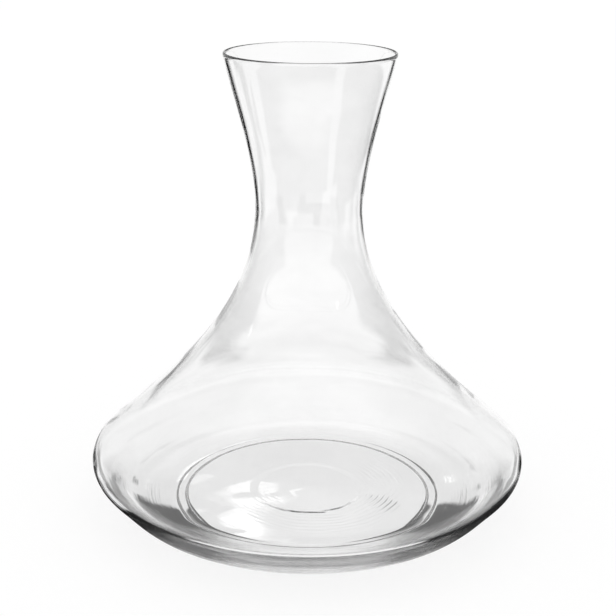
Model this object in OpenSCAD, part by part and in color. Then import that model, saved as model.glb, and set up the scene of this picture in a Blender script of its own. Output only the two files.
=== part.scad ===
// Water carafe of clear blown glass: one vessel, turned about the Z axis.
// The foot stands on Z = 0 and the axis of the vessel is the Z axis.
// The wall is one closed outline: up the outside from the punt to the lip, over
// the lip, and down the inside to the middle of the floor.

/* [Overall] */
// Height from the table to the top of the lip
carafe_h = 220; // [200:1:240]
// Greatest outside diameter, at the belly
belly_d = 210; // [195:1:225]
// Height at which the belly is widest
belly_z = 26.2; // [24:0.1:30]
// Outside radius of the turn at the widest place of the belly
belly_round = 9; // [7:0.5:12]

/* [Neck and mouth] */
// Outside diameter at the throat, the narrowest place of the neck
throat_d = 50.2; // [44:0.2:60]
// Height of the throat
throat_z = 146.4; // [138:0.2:156]
// Outside diameter of the mouth, across the lip
mouth_d = 79; // [68:0.5:92]
// Lean of the wall at the lip, measured from the vertical, in degrees
mouth_lean = 10; // [4:0.5:18]

/* [Walls] */
// Thickness of the wall at the throat
throat_wall = 1.5; // [1.2:0.1:2.2]
// Thickness of the wall at the widest place of the belly
belly_wall = 2.4; // [1.8:0.1:3.2]
// Thickness of the level floor inside, over the glass beside the foot ring
floor_wall = 4; // [3.4:0.1:5]
// Thickness of the fire-polished lip
lip_t = 1.8; // [1.4:0.1:2.6]

/* [Belly and shoulder curves] */
// Slope at which the sole leaves the foot ring, in degrees
sole_slope = 1.5; // [0.5:0.1:3]
// Slope of the underside where it meets the turn of the belly, in degrees
under_slope = 46; // [42:1:50]
// Slope of the shoulder where it leaves the turn of the belly, in degrees
shoulder_slope = 42; // [36:1:48]
// How far the sole keeps its slope into the underside
sole_run = 26; // [22:0.5:30]
// How far the underside keeps its slope below the turn
under_run = 18; // [14:0.5:22]
// How far the shoulder keeps its slope above the turn
shoulder_run = 31; // [24:0.5:38]
// How far the throat keeps its upright direction down into the shoulder
throat_drop = 50.5; // [44:0.5:58]
// How far the throat keeps its upright direction up into the flare
throat_rise = 26.5; // [20:0.5:32]
// How far the wall runs straight below the lip
lip_run = 13; // [8:0.5:18]
// Diameter of the level floor inside, where it starts to rise to the belly
floor_d = 122; // [112:1:130]
// How far the inside keeps level into that rise
floor_run = 19; // [14:0.5:24]
// How far the inside keeps the slope of the underside below the turn
rise_run = 10; // [6:0.5:14]

/* [Foot and punt] */
// Diameter of the ring on which the carafe stands, at the middle of its flat
foot_d = 124.4; // [116:0.2:132]
// Width of the ground flat on that ring
foot_flat = 2.4; // [1.6:0.1:4]
// Radius of the heel on both sides of the flat
foot_round = 1.6; // [1:0.1:2.4]
// Height of the glass above the table beside the ring, before the punt rises
foot_lift = 0.8; // [0.5:0.1:1.2]
// Height of the punt under its middle
punt_h = 1.6; // [1.2:0.1:3]
// Diameter of the pressed ring step in the punt
punt_ring_d = 56; // [44:0.5:70]
// Height of that step
punt_ring_h = 0.3; // [0.1:0.05:0.5]
// Width over which the step rises
punt_ring_w = 3; // [2:0.1:5]
// Diameter of the shallow mark in the middle of the punt
gather_mark_d = 24; // [14:0.5:34]
// Depth of that mark
gather_mark_h = 0.2; // [0.1:0.05:0.4]

/* [Resolution] */
// Steps along the shoulder, from the belly to the throat
shoulder_steps = 30; // [16:1:60]
// Steps along each of the shorter curves
curve_steps = 20; // [8:2:30]
// Steps round the turn of the belly, the lip and the heels
round_steps = 8; // [6:2:16]

/* [Hidden] */
$fn = 96;

belly_r = belly_d / 2;
throat_r = throat_d / 2;
floor_r = floor_d / 2;
foot_r = foot_d / 2;
lip_r = lip_t / 2;
punt_ring_r = punt_ring_d / 2;
gather_mark_r = gather_mark_d / 2;

// A smooth blend from 0 to 1 as u goes from 0 to 1, level at both ends
function ease(u) = u <= 0 ? 0 : u >= 1 ? 1 : (1 - cos(180 * u)) / 2;
function mix(a, b, u) = a + (b - a) * u;
// The direction that lies at angle a to the +X axis in the plane of the outline
function along(a) = [cos(a), sin(a)];
// A point of a cubic curve with end points p, s and handle points q, r
function cubic(p, q, r, s, u) =
    pow(1 - u, 3) * p + 3 * pow(1 - u, 2) * u * q + 3 * (1 - u) * u * u * r + pow(u, 3) * s;
// The direction of that curve, as a unit vector
function cubic_run(p, q, r, s, u) =
    let (d = (1 - u) * (1 - u) * (q - p) + 2 * (1 - u) * u * (r - q) + u * u * (s - r)) d / norm(d);
// A quarter turn to the left of a direction: from the outside of the wall to its inside
function inward(d) = [-d[1], d[0]];
// Points on an arc from angle a to angle b, both ends left out
function arc(c, r, a, b, n) = [for (i = [1 : n - 1]) c + r * along(mix(a, b, i / n))];
// The same by way of angle m, with a point there, so that the arc keeps its full reach
function arc_by(c, r, a, m, b, n) = concat(arc(c, r, a, m, n), [c + r * along(m)], arc(c, r, m, b, n));
// Values from a to b in n steps, the last left out
function steps(a, b, n) = [for (i = [0 : n - 1]) mix(a, b, i / n)];
function reversed(list) = [for (i = [len(list) - 1 : -1 : 0]) list[i]];

// How far round and how far out each heel of the foot ring goes until it meets the glass beside it
foot_sweep = acos(1 - foot_lift / foot_round);
foot_reach = foot_round * sin(foot_sweep);

// The four outside stretches above the foot: the underside, the turn of the belly,
// the shoulder and the flare. The turn is an arc and the others are cubic curves.
turn_from = under_slope - 90;
turn_to = 90 - shoulder_slope;
turn_centre = [belly_r - belly_round, belly_z];
turn_start = turn_centre + belly_round * along(turn_from);
turn_end = turn_centre + belly_round * along(turn_to);
sole_point = [foot_r + foot_flat / 2 + foot_reach, foot_lift];
throat_point = [throat_r, throat_z];
lip_centre = [mouth_d / 2 - lip_r, carafe_h - lip_r];
lip_point = lip_centre + lip_r * along(-mouth_lean);
UNDER = [sole_point, sole_point + sole_run * along(sole_slope),
    turn_start - under_run * along(under_slope), turn_start];
SHOULDER = [turn_end, turn_end + shoulder_run * along(180 - shoulder_slope),
    throat_point - [0, throat_drop], throat_point];
FLARE = [throat_point, throat_point + [0, throat_rise],
    lip_point - lip_run * along(90 - mouth_lean), lip_point];

// The outside and the inside of the wall along one of those curves. The wall goes
// from wall_a at the curve's start to wall_b at its end.
function outside(c, n, from = 0) = [for (i = [from : n]) cubic(c[0], c[1], c[2], c[3], i / n)];
function inside(c, n, wall_a, wall_b, from = 0) = [for (i = [from : n]) let (u = i / n)
    cubic(c[0], c[1], c[2], c[3], u)
        + mix(wall_a, wall_b, ease(u)) * inward(cubic_run(c[0], c[1], c[2], c[3], u))];

// The underside of the punt: a dome with a pressed ring step and a shallow middle mark
function punt_z(r) = foot_lift
    + (punt_h - foot_lift) * (1 - ease(r / punt_edge_r))
    - punt_ring_h * ease((punt_ring_r - r) / punt_ring_w)
    + gather_mark_h * ease((gather_mark_r - r) / gather_mark_r);
punt_edge_r = foot_r - foot_flat / 2 - foot_reach;
PUNT = [for (r = concat(
    steps(0, punt_ring_r - punt_ring_w, curve_steps / 2),
    steps(punt_ring_r - punt_ring_w, punt_ring_r, round_steps / 2),
    steps(punt_ring_r, punt_edge_r, curve_steps / 2))) [r, punt_z(r)]];

// The foot ring: a flat with a rounded heel on each side, from the punt to the sole
FOOT = concat(
    [[punt_edge_r, foot_lift]],
    arc([foot_r - foot_flat / 2, foot_round], foot_round, 270 - foot_sweep, 270, round_steps),
    [[foot_r - foot_flat / 2, 0], [foot_r + foot_flat / 2, 0]],
    arc([foot_r + foot_flat / 2, foot_round], foot_round, 270, 270 + foot_sweep, round_steps));

// The inside of the base: a floor with a low dome over the punt, and a curve that rises
// to the turn of the belly and leaves the glass thickest between the foot and the belly
floor_h = foot_lift + floor_wall;
inner_round = belly_round - belly_wall;
rise_end = turn_centre + inner_round * along(turn_from);
function floor_z(r) = floor_h + (punt_h - foot_lift) * (1 - ease(r / floor_r));
FLOOR = [for (r = steps(0, floor_r, curve_steps)) [r, floor_z(r)]];
RISE = [[floor_r, floor_h], [floor_r + floor_run, floor_h],
    rise_end - rise_run * along(under_slope), rise_end];

// The whole closed outline of the wall, on the +X side of the axis
wall_outline = concat(
    PUNT, FOOT, outside(UNDER, curve_steps),
    arc_by(turn_centre, belly_round, turn_from, 0, turn_to, round_steps / 2),
    outside(SHOULDER, shoulder_steps), outside(FLARE, curve_steps, 1),
    arc_by(lip_centre, lip_r, -mouth_lean, 90, 180 - mouth_lean, round_steps / 2),
    reversed(concat(FLOOR, outside(RISE, curve_steps),
        arc_by(turn_centre, inner_round, turn_from, 0, turn_to, round_steps / 2),
        inside(SHOULDER, shoulder_steps, belly_wall, throat_wall),
        inside(FLARE, curve_steps, throat_wall, lip_t, 1))));

module glass_body() {
    color([0.93, 0.96, 0.96, 0.35])
        rotate_extrude()
            polygon(wall_outline);
}

glass_body();
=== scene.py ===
import math

import bpy
from mathutils import Matrix, Vector


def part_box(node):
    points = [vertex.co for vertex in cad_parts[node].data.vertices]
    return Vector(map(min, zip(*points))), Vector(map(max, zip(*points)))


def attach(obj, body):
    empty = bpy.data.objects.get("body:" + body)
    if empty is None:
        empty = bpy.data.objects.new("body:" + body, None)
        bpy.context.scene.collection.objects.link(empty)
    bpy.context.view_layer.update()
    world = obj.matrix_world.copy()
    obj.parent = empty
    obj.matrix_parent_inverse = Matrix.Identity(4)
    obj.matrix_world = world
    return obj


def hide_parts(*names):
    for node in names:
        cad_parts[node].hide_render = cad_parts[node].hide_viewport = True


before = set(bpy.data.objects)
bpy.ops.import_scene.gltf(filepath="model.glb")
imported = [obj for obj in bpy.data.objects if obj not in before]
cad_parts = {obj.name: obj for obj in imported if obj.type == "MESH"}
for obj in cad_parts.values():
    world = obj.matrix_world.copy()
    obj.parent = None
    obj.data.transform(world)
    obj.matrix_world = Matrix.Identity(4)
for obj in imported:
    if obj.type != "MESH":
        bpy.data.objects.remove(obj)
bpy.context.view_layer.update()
glass_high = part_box("glass_body")[1]

# Sizes of the vessel, in metres. The height and the belly come from the frame.
CARAFE_H = glass_high[2]
BELLY_R = glass_high[0]
BELLY_Z = 0.0262
BELLY_ROUND = 0.009
THROAT_R = 0.0251
THROAT_Z = 0.1464
MOUTH_R = 0.0395
LIP_R = 0.0007
THROAT_WALL = 0.0015
BELLY_WALL = 0.0024
FLOOR_WALL = 0.004

# Slopes in degrees, and how far the curves keep them
MOUTH_LEAN = 10
SOLE_SLOPE = 1.5
UNDER_SLOPE = 46
SHOULDER_SLOPE = 42
SOLE_RUN = 0.026
UNDER_RUN = 0.018
SHOULDER_RUN = 0.031
THROAT_DROP = 0.0505
THROAT_RISE = 0.0265
LIP_RUN = 0.013
FLOOR_R = 0.061
FLOOR_RUN = 0.019
RISE_RUN = 0.01

# The ring that the carafe stands on, and the punt inside it
FOOT_R = 0.0622
FOOT_FLAT = 0.0024
FOOT_ROUND = 0.0016
FOOT_LIFT = 0.0008
FOOT_SWEEP = math.degrees(math.acos(1 - FOOT_LIFT / FOOT_ROUND))
FOOT_REACH = FOOT_ROUND * math.sin(math.radians(FOOT_SWEEP))
PUNT_H = 0.0016
PUNT_EDGE_R = FOOT_R - FOOT_FLAT / 2 - FOOT_REACH
PUNT_RING_R = 0.028
PUNT_RING_H = 0.0003
PUNT_RING_W = 0.003
GATHER_MARK_R = 0.012
GATHER_MARK_H = 0.0002

# Steps of the lathe: round the axis, along the long and short curves, and round the small ones
TURNS = 192
LONG_STEPS = 60
SHORT_STEPS = 30
ROUND_STEPS = 8
EASE_PASSES = 16
MERGE_GAP = 0.000001

# The glass itself: how it bends light, how it greys with depth, and a faint cloud in it
GLASS_IOR = 1.5
GLASS_DEPTH_COLOUR = (0.2, 0.2, 0.2, 1)
GLASS_DENSITY = 4
CLOUD_SCALE = 24
CLOUD_STRETCH = (1, 1, 1.7)
CLOUD_DETAIL = 5
CLOUD_ROUGHNESS = 0.6
CLOUD = ((0.35, 0.96), (0.65, 1))

# The slow swell of the hand-worked wall. Heights are in metres.
SWELL_SCALE = 30
SWELL_DETAIL = 1
SWELL_HEIGHT = 0.0004

# Fine lines round the underside. Each pair is where they start and where they are full, and
# the share is what is left of them at the back.
LINE_SCALE = 900
LINE_DETAIL = 3
LINE_HEIGHT = 0.00018
LINE_Z = (0.0217, 0.0127)
LINE_R = (0.0646, 0.0718)
LINE_Y = (-0.03, -0.06)
LINE_BACK_SHARE = 0.3

# Ripples on one side of the punt. Each pair is where they start and where they are full.
RIPPLE_CENTRE = (0.004, 0.002)
RIPPLE_STEP = 0.0027
RIPPLE_HEIGHT = 0.000017
RIPPLE_IN = (0.022, 0.0286)
RIPPLE_OUT = (0.05, 0.0425)
RIPPLE_SIDE = (-0.02, 0.03)
RIPPLE_Z = (0.012, 0.008)
WANDER_SCALE = 60
WANDER_DETAIL = 1
WANDER_TURN = 6

# Camera: its place in metres, its turns in degrees, its lens and film in millimetres
CAMERA_AT = (-0.0002, -0.6014, 0.2950)
CAMERA_DOWN = 18.064
CAMERA_ROLL = 0.437
CAMERA_LENS = 77.4
CAMERA_FILM = 36

# The floor, and how much of its white is lit and so keeps the shadow of the glass
FLOOR_SIZE = 12
SHADOW_SHARE = 0.15

# The surroundings that the glass bends and mirrors: a pale sweep with dark gaps between its
# panels, and a dimmer room above it. Each belt goes round the compass as pairs of a place
# and a grey. Places are degrees to the left of the camera's own direction. Some belts are
# repeated at the view places, so that the glass looks as clear from there.
VIEW_PLACES = (0, 90, 225)
SIDE_PLACES = (45,)
BAR = ((-37, 1), (-35, 0), (-23, 0), (-21.5, 1), (19.5, 1), (21, 0), (38.5, 0), (41, 1))
WINDOW = ((-18, 0.05), (-15, 0.92), (15, 0.92), (18, 0.05))
SLOT = ((-8.5, 0.02), (-5.5, 0.92), (5.5, 0.92), (8.5, 0.02))
SIDE = ((-9, 0.02), (-7, 0.92), (14, 0.92), (17, 0.02))
BOTTOM = ((-90, 0.02), (-16, 0.02), (-12, 0.9), (12, 0.9), (16, 0.02),
          (118, 0.02), (123, 0.9), (237, 0.9), (242, 0.02))
ROOM = ((-24, 1), (-17, 0.3), (17, 0.3), (24, 1))
BOX = ((1.8, 0), (3, 1), (4.8, 1), (6, 0))
BAR_SOFT = 0.9
UNDER_LIGHT = 1
BOX_LIGHT = 3
OVERHEAD_LIGHT = 1.5

# The edges between the belts, in degrees above the level: where each starts and where it ends
OVERHEAD_EDGE = (42, 55)
BOX_TOP = (28.9, 28.5)
BOX_FOOT = (26.8, 27.2)
ROOM_EDGE = (5, 11)
BAR_TOP = (-8.5, -13)
BAR_FOOT = (-24, -22)
WINDOW_EDGE = (-22, -19.5)
SLOT_EDGE = (-28.2, -27.3)
BOTTOM_EDGE = (-39, -35)
UNDER_EDGE = (-62, -57)

# Where the camera's own direction lies on the gradient round the world, as shares of a turn
GRADIENT_START = 0.5
CAMERA_SHARE = 0.25

# Enough bounces for a ray that runs on inside the thick glass of the base
ALL_BOUNCES = 24
MIRROR_BOUNCES = 16
GLASS_BOUNCES = 24


def along(slope):
    """The direction that climbs at an angle in degrees, in the plane of the outline."""
    return Vector((math.cos(math.radians(slope)), math.sin(math.radians(slope))))


def inward(run):
    """A quarter turn to the left of a direction: from the outside of the wall to its inside."""
    return Vector((-run.y, run.x))


def ease(u):
    """A smooth blend from 0 to 1, level at both ends."""
    u = min(max(u, 0), 1)
    return (1 - math.cos(math.pi * u)) / 2


def mix(a, b, u):
    """The value a share u of the way from a to b."""
    return a + (b - a) * u


def cubic(curve, u):
    """A point of a cubic curve, given by its two ends with their handles between them."""
    p, q, r, s = curve
    return (1 - u) ** 3 * p + 3 * (1 - u) ** 2 * u * q + 3 * (1 - u) * u * u * r + u ** 3 * s


def cubic_run(curve, u):
    """The direction of that curve at the same point."""
    p, q, r, s = curve
    run = (1 - u) ** 2 * (q - p) + 2 * (1 - u) * u * (r - q) + u * u * (s - r)
    return run.normalized()


def outside(curve, steps, start=0):
    """Points along a curve."""
    return [cubic(curve, i / steps) for i in range(start, steps + 1)]


def inside(curve, steps, wall_a, wall_b, start=0):
    """Points at the inner side of a curve, over a wall that eases from wall_a to wall_b."""
    points = []
    for i in range(start, steps + 1):
        u = i / steps
        wall = mix(wall_a, wall_b, ease(u))
        points.append(cubic(curve, u) + wall * inward(cubic_run(curve, u)))
    return points


def arc(centre, radius, a, b, steps):
    """Points on an arc from angle a to angle b in degrees, both ends left out."""
    return [centre + radius * along(mix(a, b, i / steps)) for i in range(1, steps)]


def eased(points):
    """The same line with its changes of curvature drawn out, as hot glass flows; its ends stay."""
    for _ in range(EASE_PASSES):
        middle = [(a + 2 * b + c) / 4 for a, b, c in zip(points, points[1:], points[2:])]
        points = points[:1] + middle + points[-1:]
    return points


def punt_z(r):
    """The underside of the punt: a dome with a pressed ring step and a shallow middle mark."""
    dome = (PUNT_H - FOOT_LIFT) * (1 - ease(r / PUNT_EDGE_R))
    ring = PUNT_RING_H * ease((PUNT_RING_R - r) / PUNT_RING_W)
    mark = GATHER_MARK_H * ease((GATHER_MARK_R - r) / GATHER_MARK_R)
    return FOOT_LIFT + dome - ring + mark


def floor_z(r):
    """The floor inside, with a low dome over the punt."""
    return FOOT_LIFT + FLOOR_WALL + (PUNT_H - FOOT_LIFT) * (1 - ease(r / FLOOR_R))


def foot_ring():
    """The ground flat and its two rounded heels, from the punt to the sole."""
    ring_in = Vector((FOOT_R - FOOT_FLAT / 2, FOOT_ROUND))
    ring_out = Vector((FOOT_R + FOOT_FLAT / 2, FOOT_ROUND))
    down = Vector((0, -FOOT_ROUND))
    foot = [Vector((PUNT_EDGE_R, FOOT_LIFT))]
    foot += arc(ring_in, FOOT_ROUND, 270 - FOOT_SWEEP, 270, ROUND_STEPS)
    foot += [ring_in + down, ring_out + down]
    foot += arc(ring_out, FOOT_ROUND, 270, 270 + FOOT_SWEEP, ROUND_STEPS)
    return foot


def wall_outline():
    """The closed outline of the wall: from the middle of the punt out, up, over the lip and back in."""
    turn_from = UNDER_SLOPE - 90
    turn_to = 90 - SHOULDER_SLOPE
    turn_centre = Vector((BELLY_R - BELLY_ROUND, BELLY_Z))
    turn_start = turn_centre + BELLY_ROUND * along(turn_from)
    turn_end = turn_centre + BELLY_ROUND * along(turn_to)
    sole = Vector((FOOT_R + FOOT_FLAT / 2 + FOOT_REACH, FOOT_LIFT))
    throat = Vector((THROAT_R, THROAT_Z))
    lip_centre = Vector((MOUTH_R - LIP_R, CARAFE_H - LIP_R))
    lip = lip_centre + LIP_R * along(-MOUTH_LEAN)
    under = (sole, sole + SOLE_RUN * along(SOLE_SLOPE),
             turn_start - UNDER_RUN * along(UNDER_SLOPE), turn_start)
    shoulder = (turn_end, turn_end + SHOULDER_RUN * along(180 - SHOULDER_SLOPE),
                throat - Vector((0, THROAT_DROP)), throat)
    flare = (throat, throat + Vector((0, THROAT_RISE)),
             lip - LIP_RUN * along(90 - MOUTH_LEAN), lip)

    punt = [Vector((r, punt_z(r))) for r in (PUNT_EDGE_R * i / LONG_STEPS for i in range(LONG_STEPS))]
    belly = outside(under, LONG_STEPS)
    belly += arc(turn_centre, BELLY_ROUND, turn_from, turn_to, SHORT_STEPS)
    belly += outside(shoulder, LONG_STEPS)
    outer = punt + foot_ring() + eased(belly) + outside(flare, SHORT_STEPS, 1)
    outer += arc(lip_centre, LIP_R, -MOUTH_LEAN, 180 - MOUTH_LEAN, ROUND_STEPS)

    inner_round = BELLY_ROUND - BELLY_WALL
    floor_end = Vector((FLOOR_R, FOOT_LIFT + FLOOR_WALL))
    rise_end = turn_centre + inner_round * along(turn_from)
    rise = (floor_end, floor_end + Vector((FLOOR_RUN, 0)),
            rise_end - RISE_RUN * along(UNDER_SLOPE), rise_end)
    floor = [Vector((r, floor_z(r))) for r in (FLOOR_R * i / SHORT_STEPS for i in range(SHORT_STEPS))]
    hollow = outside(rise, LONG_STEPS)
    hollow += arc(turn_centre, inner_round, turn_from, turn_to, SHORT_STEPS)
    hollow += inside(shoulder, LONG_STEPS, BELLY_WALL, THROAT_WALL)
    inner = floor + eased(hollow) + inside(flare, SHORT_STEPS, THROAT_WALL, 2 * LIP_R, 1)
    return outer + inner[::-1]


def turned(name, outline, turns):
    """A solid turned about the Z axis from an outline that starts and ends on the axis."""
    bpy.ops.object.select_all(action="DESELECT")
    bpy.ops.mesh.primitive_plane_add(size=FOOT_FLAT, location=(0, 0, 0))
    piece = bpy.context.object
    piece.name = name
    bpy.ops.object.mode_set(mode="EDIT")
    bpy.ops.mesh.select_all(action="SELECT")
    bpy.ops.mesh.merge(type="CENTER")
    here = outline[0]
    bpy.ops.transform.translate(value=(here.x, 0, here.y))
    for there in outline[1:]:
        step = there - here
        bpy.ops.mesh.extrude_vertices_move(TRANSFORM_OT_translate={"value": (step.x, 0, step.y)})
        here = there
    bpy.ops.mesh.select_all(action="SELECT")
    bpy.ops.mesh.spin(steps=turns, angle=math.tau, center=(0, 0, 0), axis=(0, 0, 1))
    bpy.ops.mesh.select_all(action="SELECT")
    bpy.ops.mesh.remove_doubles(threshold=MERGE_GAP)
    bpy.ops.mesh.normals_make_consistent(inside=False)
    bpy.ops.object.mode_set(mode="OBJECT")
    bpy.ops.object.shade_smooth()
    return piece


def node(tree, kind, inputs=None, **settings):
    """A new node with its settings; each input is a plain value or another node's output."""
    new = tree.nodes.new(kind)
    for name, value in settings.items():
        setattr(new, name, value)
    for name, value in (inputs or {}).items():
        if isinstance(value, bpy.types.NodeSocket):
            tree.links.new(value, new.inputs[name])
        else:
            new.inputs[name].default_value = value
    return new


def math_node(tree, operation, a, b=0.0, c=0.0):
    """The result of one sum on up to three numbers."""
    return node(tree, "ShaderNodeMath", {0: a, 1: b, 2: c}, operation=operation).outputs[0]


def product(tree, a, b):
    """One number times another."""
    return math_node(tree, "MULTIPLY", a, b)


def distance(tree, x, y):
    """How far a place with these level coordinates lies from their zero."""
    squares = math_node(tree, "ADD", product(tree, x, x), product(tree, y, y))
    return math_node(tree, "SQRT", squares)


def span(tree, value, edge, low=0.0, high=1.0):
    """Goes smoothly from low to high while the value goes from the edge's start to its end."""
    inputs = {"Value": value, "From Min": edge[0], "From Max": edge[1], "To Min": low, "To Max": high}
    return node(tree, "ShaderNodeMapRange", inputs, interpolation_type="SMOOTHSTEP").outputs["Result"]


def blend(tree, share, a, b):
    """A number that goes from a to b with the share."""
    return node(tree, "ShaderNodeMix", {0: share, 2: a, 3: b}, data_type="FLOAT").outputs[0]


def noise(tree, place, scale, detail, roughness=0.5):
    """Smooth noise between 0 and 1 that follows the place."""
    inputs = {"Vector": place, "Scale": scale, "Detail": detail, "Roughness": roughness}
    return node(tree, "ShaderNodeTexNoise", inputs).outputs["Fac"]


def ramp(tree, value, stops):
    """A grey that follows the value by the stops, each a place and a grey."""
    new = node(tree, "ShaderNodeValToRGB", {"Fac": value})
    marks = new.color_ramp.elements
    while len(marks) < len(stops):
        marks.new(1)
    for mark, (place, grey) in zip(marks, stops):
        mark.position = place
        mark.color = (grey, grey, grey, 1)
    return new.outputs["Color"]


def level_lines(tree, x, y, z):
    """The height of the fine level lines round the underside, clearest on its front half."""
    r = distance(tree, x, y)
    turn = math_node(tree, "ARCTAN2", y, x)
    round_line = node(tree, "ShaderNodeCombineXYZ", {"X": turn, "Y": product(tree, r, LINE_SCALE)})
    lines = noise(tree, round_line.outputs["Vector"], 1, LINE_DETAIL)
    low = span(tree, z, LINE_Z)
    outer = span(tree, r, LINE_R)
    front = span(tree, y, LINE_Y, LINE_BACK_SHARE, 1)
    line_place = product(tree, product(tree, low, outer), front)
    return product(tree, product(tree, lines, LINE_HEIGHT), line_place)


def punt_ripples(tree, place, x, y, z):
    """The height of the ripples that the pressed punt leaves on one side of the base."""
    off_x = math_node(tree, "SUBTRACT", x, RIPPLE_CENTRE[0])
    off_y = math_node(tree, "SUBTRACT", y, RIPPLE_CENTRE[1])
    r = distance(tree, off_x, off_y)
    wander = product(tree, noise(tree, place, WANDER_SCALE, WANDER_DETAIL), WANDER_TURN)
    wave = math_node(tree, "SINE", math_node(tree, "MULTIPLY_ADD", r, math.tau / RIPPLE_STEP, wander))
    near = span(tree, r, RIPPLE_IN)
    far = span(tree, r, RIPPLE_OUT)
    side = span(tree, math_node(tree, "SUBTRACT", x, y), RIPPLE_SIDE)
    low = span(tree, z, RIPPLE_Z)
    ripple_place = product(tree, product(tree, product(tree, near, far), side), low)
    return product(tree, product(tree, wave, RIPPLE_HEIGHT), ripple_place)


def unevenness(tree, place):
    """The height of hand-worked glass over its turned form, in metres."""
    spot = node(tree, "ShaderNodeSeparateXYZ", {"Vector": place})
    x, y, z = spot.outputs["X"], spot.outputs["Y"], spot.outputs["Z"]
    swell = product(tree, noise(tree, place, SWELL_SCALE, SWELL_DETAIL), SWELL_HEIGHT)
    height = math_node(tree, "ADD", level_lines(tree, x, y, z), swell)
    return math_node(tree, "ADD", punt_ripples(tree, place, x, y, z), height)


def glass_material():
    """Clear glass with a faint cloud, a grey depth and an uneven surface."""
    material = bpy.data.materials.new("clear_glass")
    material.use_nodes = True
    tree = material.node_tree
    shader = tree.nodes["Principled BSDF"]
    place = node(tree, "ShaderNodeTexCoord").outputs["Object"]
    level = node(tree, "ShaderNodeMapping", {"Vector": place, "Scale": CLOUD_STRETCH}).outputs["Vector"]
    cloud = noise(tree, level, CLOUD_SCALE, CLOUD_DETAIL, CLOUD_ROUGHNESS)
    tree.links.new(ramp(tree, cloud, CLOUD), shader.inputs["Base Color"])
    shader.inputs["Roughness"].default_value = 0
    shader.inputs["IOR"].default_value = GLASS_IOR
    shader.inputs["Transmission Weight"].default_value = 1
    bump = node(tree, "ShaderNodeBump", {"Height": unevenness(tree, place), "Strength": 1, "Distance": 1})
    tree.links.new(bump.outputs["Normal"], shader.inputs["Normal"])
    depth = node(tree, "ShaderNodeVolumeAbsorption", {"Color": GLASS_DEPTH_COLOUR, "Density": GLASS_DENSITY})
    tree.links.new(depth.outputs["Volume"], tree.nodes["Material Output"].inputs["Volume"])
    return material


def blow_glass():
    """The whole vessel, one piece of glass."""
    glass = turned("glass_wall", wall_outline(), TURNS)
    glass.data.materials.append(glass_material())
    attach(glass, "root")
    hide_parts("glass_body")


def place_camera():
    """The camera, level but for its tilt and a slight roll."""
    camera = bpy.data.cameras.new("camera")
    camera.lens = CAMERA_LENS
    camera.sensor_width = CAMERA_FILM
    holder = bpy.data.objects.new("camera", camera)
    bpy.context.scene.collection.objects.link(holder)
    tilt = Matrix.Rotation(math.radians(90 - CAMERA_DOWN), 4, "X")
    roll = Matrix.Rotation(math.radians(CAMERA_ROLL), 4, "Z")
    holder.matrix_world = Matrix.Translation(CAMERA_AT) @ tilt @ roll
    bpy.context.scene.camera = holder


def height_at(slope):
    """How high a direction with this slope in degrees reaches on a ball of radius 1."""
    return math.sin(math.radians(slope))


def spread(stops, places):
    """The same stops round each of the places."""
    return [(centre + place, grey) for centre in places for place, grey in stops]


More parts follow.
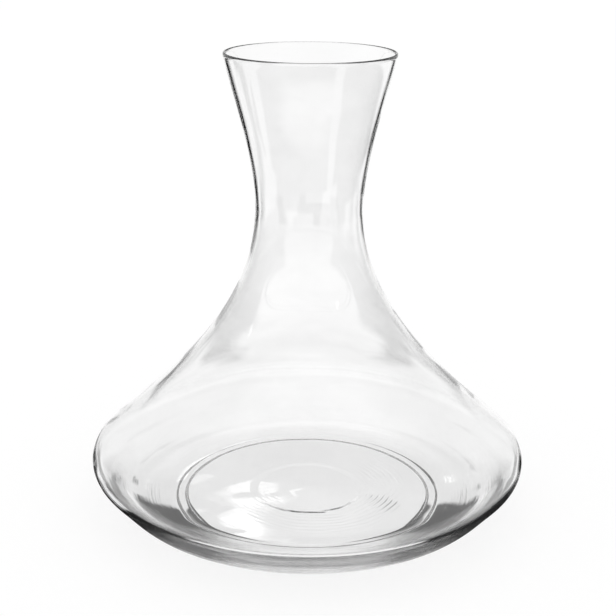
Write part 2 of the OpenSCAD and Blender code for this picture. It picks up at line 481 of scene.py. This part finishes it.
def light_world():
    """The surroundings, as the glass sees them; the camera and the floor see plain white."""
    world = bpy.data.worlds.new("studio")
    bpy.context.scene.world = world
    world.use_nodes = True
    tree = world.node_tree
    toward = node(tree, "ShaderNodeTexCoord").outputs["Generated"]
    gradient = node(tree, "ShaderNodeTexGradient", {"Vector": toward}, gradient_type="RADIAL")
    turn = math_node(tree, "ADD", gradient.outputs["Fac"], GRADIENT_START)
    across = math_node(tree, "FRACT", turn)
    height = node(tree, "ShaderNodeSeparateXYZ", {"Vector": toward}).outputs["Z"]

    def belt(stops):
        """A grey that goes round the compass by the stops."""
        return ramp(tree, across, [(CAMERA_SHARE + place / 360, grey) for place, grey in sorted(stops)])

    def past(edge):
        """0 on the first side of a belt's edge and 1 on the other."""
        return span(tree, height, (height_at(edge[0]), height_at(edge[1])))

    side = spread(SIDE, SIDE_PLACES)
    bars = belt(spread(BAR, VIEW_PLACES))
    soft_bars = span(tree, bars, (0, 1), BAR_SOFT, 1)
    light = blend(tree, product(tree, past(BAR_FOOT), past(BAR_TOP)), soft_bars, bars)
    light = blend(tree, past(WINDOW_EDGE), belt(spread(WINDOW, VIEW_PLACES) + side), light)
    light = blend(tree, past(SLOT_EDGE), belt(spread(SLOT, VIEW_PLACES) + side), light)
    light = blend(tree, past(BOTTOM_EDGE), belt(BOTTOM), light)
    light = blend(tree, past(UNDER_EDGE), UNDER_LIGHT, light)
    light = blend(tree, past(ROOM_EDGE), light, belt(ROOM))
    box_height = product(tree, past(BOX_FOOT), past(BOX_TOP))
    box = product(tree, belt(spread(BOX, VIEW_PLACES)), box_height)
    light = math_node(tree, "MULTIPLY_ADD", box, BOX_LIGHT, light)
    light = blend(tree, past(OVERHEAD_EDGE), light, OVERHEAD_LIGHT)

    ray = node(tree, "ShaderNodeLightPath")
    plain = math_node(tree, "MAXIMUM", ray.outputs["Is Camera Ray"], ray.outputs["Is Diffuse Ray"])
    background = tree.nodes["Background"]
    background.inputs["Color"].default_value = (1, 1, 1, 1)
    tree.links.new(blend(tree, plain, light, 1.0), background.inputs["Strength"])


def lay_floor():
    """A plain white floor that keeps the shadow, and that the glass neither shows nor mirrors."""
    bpy.ops.object.select_all(action="DESELECT")
    bpy.ops.mesh.primitive_plane_add(size=FLOOR_SIZE, location=(0, 0, 0))
    floor = bpy.context.object
    floor.name = "floor"
    floor.visible_transmission = False
    floor.visible_glossy = False
    material = bpy.data.materials.new("floor")
    material.use_nodes = True
    tree = material.node_tree
    shader = tree.nodes["Principled BSDF"]
    shader.inputs["Base Color"].default_value = (1, 1, 1, 1)
    shader.inputs["Roughness"].default_value = 1
    shader.inputs["Specular IOR Level"].default_value = 0
    white = node(tree, "ShaderNodeEmission", {"Strength": 1}).outputs["Emission"]
    lit = shader.outputs["BSDF"]
    both = node(tree, "ShaderNodeMixShader", {"Fac": SHADOW_SHARE, 1: white, 2: lit}).outputs["Shader"]
    tree.links.new(both, tree.nodes["Material Output"].inputs["Surface"])
    floor.data.materials.append(material)


blow_glass()
place_camera()
light_world()
lay_floor()

scene = bpy.context.scene
scene.view_settings.view_transform = "Standard"
scene.cycles.max_bounces = ALL_BOUNCES
scene.cycles.glossy_bounces = MIRROR_BOUNCES
scene.cycles.transmission_bounces = GLASS_BOUNCES
